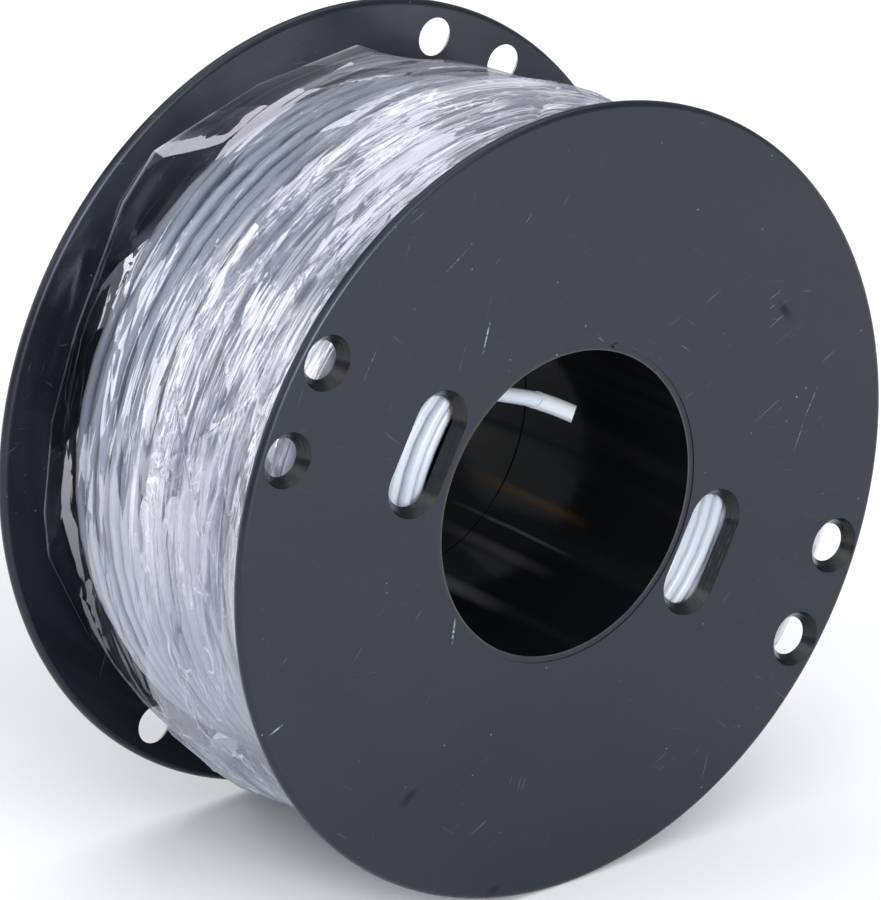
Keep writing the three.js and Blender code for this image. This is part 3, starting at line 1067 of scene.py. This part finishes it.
# Radius of the film over the winding, from the rear flange to the front one, in mm, as (y, radius)
FILM_CROWN = [
    (35.2, 67.0), (30, 69.4), (24, 70.9), (12, 72.2), (2, 72.7), (-14, 72.8), (-28, 72.0), (-34.9, 71.2),
]
# How far the film stands off further underneath, where it sags, as (angle in degrees, extra radius in mm)
FILM_SAG = [
    (0, 0), (100, 0), (185, 0), (205, 0.9), (225, 2.4), (235, 2.6), (245, 2.2), (255, 1.0), (265, 0.5),
    (300, 0), (360, 0),
]
SAG_MIDDLE_Y = 8 * MM
SAG_HALF_WIDTH = 32 * MM

# Where the outer turn's loose edge is pulled into a crumpled knot, in degrees
KNOT_ANGLE = 170
KNOT_HALF_WIDTH = 11

# Creases in the film: (how many, length, width, height, lean in degrees)
INNER_CREASES = [(160, 24 * MM, 0.8 * MM, 0.28 * MM, 4), (90, 10 * MM, 0.7 * MM, 0.3 * MM, 18)]
OUTER_CREASES = [(200, 26 * MM, 0.8 * MM, 0.3 * MM, 3), (130, 9 * MM, 0.7 * MM, 0.32 * MM, 20)]
KNOT_CREASES = (420, 3 * MM, 0.8 * MM, 0.8 * MM, 45)


def foot_radius(angle):
    """Where the film meets the rear flange: a polygon with straight stretches between its corners."""
    corners = sorted((math.radians(a), r * MM) for a, r in FOOT_CORNERS)
    a = np.array([corners[-1][0] - 2 * math.pi] + [c[0] for c in corners] + [corners[0][0] + 2 * math.pi])
    r = np.array([corners[-1][1]] + [c[1] for c in corners] + [corners[0][1]])
    x, z = r * np.cos(a), r * np.sin(a)
    angle = np.mod(angle, 2 * math.pi)
    k = np.clip(np.searchsorted(a, angle, side="right") - 1, 0, len(a) - 2)
    dx, dz = x[k + 1] - x[k], z[k + 1] - z[k]
    return (x[k] * dz - z[k] * dx) / (np.cos(angle) * dz - np.sin(angle) * dx)


def by_angle(table, angle):
    table = np.array(table, dtype=float)
    return np.interp(np.degrees(angle) % 360, table[:, 0], table[:, 1]) * MM


def run_on_uvs(film):
    """Lets the last column's UVs run on to the full turn instead of jumping back to the start."""
    loops = np.empty(len(film.data.loops), dtype=np.int32)
    film.data.loops.foreach_get("vertex_index", loops)
    layer = film.data.uv_layers["surface"].data
    uvs = np.empty(len(loops) * 2, dtype=np.float32)
    layer.foreach_get("uv", uvs)
    uvs = uvs.reshape(-1, 2)
    face_of_loop = np.arange(len(loops)) // 4
    closing = (face_of_loop % FILM_COLUMNS == FILM_COLUMNS - 1) & (loops % FILM_COLUMNS == 0)
    uvs[closing, 0] += 2 * math.pi * FILM_MEAN_RADIUS
    layer.foreach_set("uv", uvs.ravel())


def make_film(name, seed, y_rear, lift, material, rows, creases, foot_rows):
    """One turn of film round the winding, from the front flange to y_rear, and then to the rear flange.

    y_rear holds one number for each column. foot_rows is 0 for a turn that ends at y_rear, in a loose edge.
    """
    angle = FILM_ANGLES
    y_front = -CHANNEL_Y + 0.2 * MM
    t = np.linspace(0, 1, rows)[:, None]
    y = y_front + (y_rear[None] - y_front) * t
    u = np.broadcast_to(angle, y.shape) * FILM_MEAN_RADIUS
    turn_length = 2 * math.pi * FILM_MEAN_RADIUS
    height = np.zeros(y.shape)
    for k, (count, *shape) in enumerate(creases):
        height += ridge_field(u, y, count, seed + k, turn_length, *shape)
    held = np.clip((y - y_front) / (2 * MM), 0, 1)
    slack = np.clip(1 - np.abs(y - SAG_MIDDLE_Y) / SAG_HALF_WIDTH, 0, 1)
    sag = by_angle(FILM_SAG, angle)[None] * slack ** 0.6
    radius = crown_radius(FILM_CROWN, y) + lift + height * held + sag
    looseness = np.zeros(y.shape)
    if not foot_rows:
        # the loose edge is crumpled most at the knot
        knot = np.exp(-((np.degrees(angle) - KNOT_ANGLE) / KNOT_HALF_WIDTH) ** 2)
        looseness = np.clip((t - 0.74) / 0.20, 0, 1) * (0.12 + 0.88 * knot)[None]
        count, *shape = KNOT_CREASES
        radius = radius + looseness * ridge_field(u, y, count, seed + 50, turn_length, *shape)
    radius = np.minimum(radius, FILM_REACH)
    if foot_rows:
        s = np.linspace(0, 1, foot_rows + 1)[1:, None]
        y_foot = y[-1][None] + (CHANNEL_Y - 0.15 * MM - y[-1][None]) * s
        y = np.vstack([y, y_foot])
        radius = np.vstack([radius, radius[-1][None] * (1 - s) + foot_radius(angle)[None] * s])
        u = np.broadcast_to(angle, y.shape) * FILM_MEAN_RADIUS
        looseness = np.zeros(y.shape)
    vertices = on_circle(radius, angle, y)
    uvs = np.stack([u, y], axis=-1).reshape(-1, 2)
    film = make_object(name, vertices.reshape(-1, 3), grid_faces(len(y), FILM_COLUMNS), uvs)
    run_on_uvs(film)
    film.data.attributes.new("loose", "FLOAT", "POINT").data.foreach_set("value", looseness.ravel())
    film.data.materials.append(material)
    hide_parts("stretch_film")
    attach(film, "root")
    return film


def make_films():
    clear = film_plastic("film_clear", 0.02, 0.20, 0.0)
    milky = film_plastic("film_milky", 0.04, 0.40, 4.0)
    angle = FILM_ANGLES
    shoulder = 24.5 * MM + 1.2 * MM * np.sin(5 * angle + 1) + 0.8 * MM * np.sin(11 * angle)
    edge = by_angle(OUTER_EDGE, angle) + 0.7 * MM * np.sin(23 * angle) + 0.5 * MM * np.sin(41 * angle + 2)
    first = make_film("film_inner_turn", 100, shoulder, 0.0, clear, 110, INNER_CREASES, 14)
    second = make_film("film_outer_turn", 200, edge, OUTER_TURN_LIFT, milky, 100, OUTER_CREASES, 0)


# Stage


FLOOR_REACH = 12


def area_light(name, location, size, energy):
    """A soft light that faces the reel's centre."""
    data = bpy.data.lights.new(name, "AREA")
    data.shape = "RECTANGLE"
    data.size, data.size_y = size
    data.energy = energy
    light = bpy.data.objects.new(name, data)
    light.location = location
    light.rotation_mode = "QUATERNION"
    light.rotation_quaternion = (-Vector(location)).to_track_quat("-Z", "Y")
    bpy.context.collection.objects.link(light)


def make_stage():
    floor_z = REEL_LOW.z - 0.05 * MM
    corners = [(x * FLOOR_REACH, y * FLOOR_REACH, floor_z) for x, y in ((-1, -1), (1, -1), (1, 1), (-1, 1))]
    floor = make_object("floor", corners, [(0, 1, 2, 3)])
    floor.data.materials.append(floor_material())
    world = bpy.data.worlds.new("studio")
    world.use_nodes = True
    background = world.node_tree.nodes["Background"]
    background.inputs["Color"].default_value = (0.84, 0.90, 1.0, 1)
    background.inputs["Strength"].default_value = 0.42
    bpy.context.scene.world = world
    area_light("overhead", (0.3, 0.3, 1.7), (2.0, 1.6), 15)
    area_light("front_top", (-0.5, -1.25, 1.35), (2.4, 1.4), 19)
    area_light("front_low", (-0.25, -1.45, 0.40), (0.8, 0.5), 17)
    area_light("left", (-1.2, 0.1, 0.95), (0.5, 0.9), 4)
    area_light("back_left", (-0.90, 1.08, 0.46), (0.66, 0.95), 3.9)
    bpy.context.scene.view_settings.view_transform = "Standard"


make_camera()
string_material = string_plastic()
make_inner_end(string_material, sleeve_plastic(), cut_face())
make_reel()
make_winding(string_material)
make_films()
make_stage()
